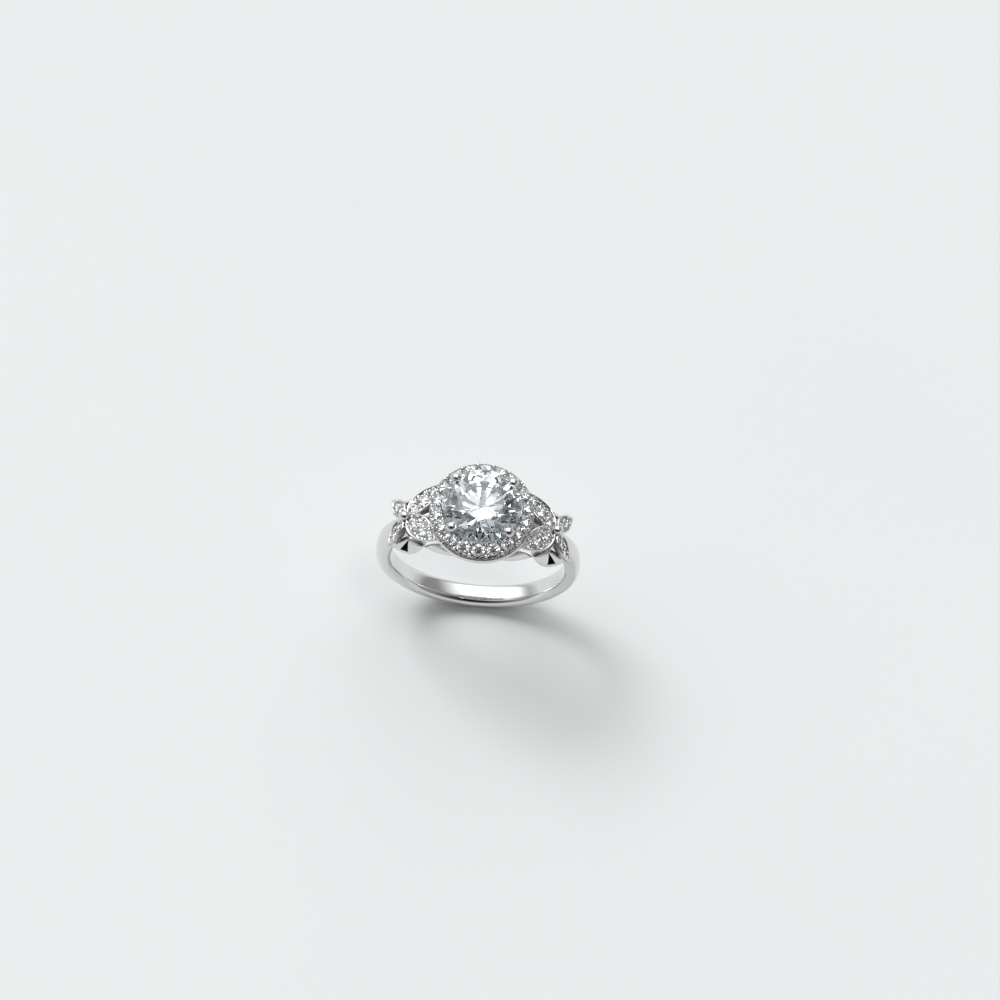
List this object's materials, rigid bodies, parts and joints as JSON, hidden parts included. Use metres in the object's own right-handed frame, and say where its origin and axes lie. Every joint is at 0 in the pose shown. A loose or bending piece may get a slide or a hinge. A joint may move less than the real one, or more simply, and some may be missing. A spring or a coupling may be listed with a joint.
{
  "type": "engagement ring",
  "caption": "Halo engagement ring with a round stone in four prongs and stone-set butterfly shoulders over pierced side leaves.",
  "frame": {"origin": "centre of the finger hole, halfway across the band's width", "axes": "+Y along the finger hole's axis, +Z from the finger hole towards the centre stone, +X across the ring from one shoulder to the other"},
  "size_m": [0.02, 0.01, 0.0232],
  "materials": {
    "shank_metal": "polished rhodium-plated white metal",
    "setting_metal": "polished rhodium-plated white metal",
    "prong_metal": "polished rhodium-plated white metal",
    "centre_stone": "faceted clear gemstone",
    "small_stones": "faceted clear gemstones"
  },
  "bodies": {
    "root": {"big_wing_left_back": "setting_metal", "big_wing_left_front": "setting_metal", "big_wing_right_back": "setting_metal", "big_wing_right_front": "setting_metal", "big_wing_stone_left_back_1": "small_stones", "big_wing_stone_left_back_2": "small_stones", "big_wing_stone_left_back_3": "small_stones", "big_wing_stone_left_front_1": "small_stones", "big_wing_stone_left_front_2": "small_stones", "big_wing_stone_left_front_3": "small_stones", "big_wing_stone_right_back_1": "small_stones", "big_wing_stone_right_back_2": "small_stones", "big_wing_stone_right_back_3": "small_stones", "big_wing_stone_right_front_1": "small_stones", "big_wing_stone_right_front_2": "small_stones", "big_wing_stone_right_front_3": "small_stones", "butterfly_body_left": "setting_metal", "butterfly_body_right": "setting_metal", "centre_stone": "centre_stone", "gallery_leaf_left_back": "setting_metal", "gallery_leaf_left_front": "setting_metal", "gallery_leaf_right_back": "setting_metal", "gallery_leaf_right_front": "setting_metal", "halo_plate": "setting_metal", "halo_stone_01": "small_stones", "halo_stone_02": "small_stones", "halo_stone_03": "small_stones", "halo_stone_04": "small_stones", "halo_stone_05": "small_stones", "halo_stone_06": "small_stones", "halo_stone_07": "small_stones", "halo_stone_08": "small_stones", "halo_stone_09": "small_stones", "halo_stone_10": "small_stones", "halo_stone_11": "small_stones", "halo_stone_12": "small_stones", "halo_stone_13": "small_stones", "halo_stone_14": "small_stones", "halo_stone_15": "small_stones", "halo_stone_16": "small_stones", "halo_stone_17": "small_stones", "halo_stone_18": "small_stones", "pierced_leaf_left_back": "setting_metal", "pierced_leaf_left_front": "setting_metal", "pierced_leaf_right_back": "setting_metal", "pierced_leaf_right_front": "setting_metal", "prong_head": "prong_metal", "shank": "shank_metal", "small_wing_left_back": "setting_metal", "small_wing_left_front": "setting_metal", "small_wing_right_back": "setting_metal", "small_wing_right_front": "setting_metal", "small_wing_stone_left_back_1": "small_stones", "small_wing_stone_left_back_2": "small_stones", "small_wing_stone_left_front_1": "small_stones", "small_wing_stone_left_front_2": "small_stones", "small_wing_stone_right_back_1": "small_stones", "small_wing_stone_right_back_2": "small_stones", "small_wing_stone_right_front_1": "small_stones", "small_wing_stone_right_front_2": "small_stones"}
  },
  "joints": []
}
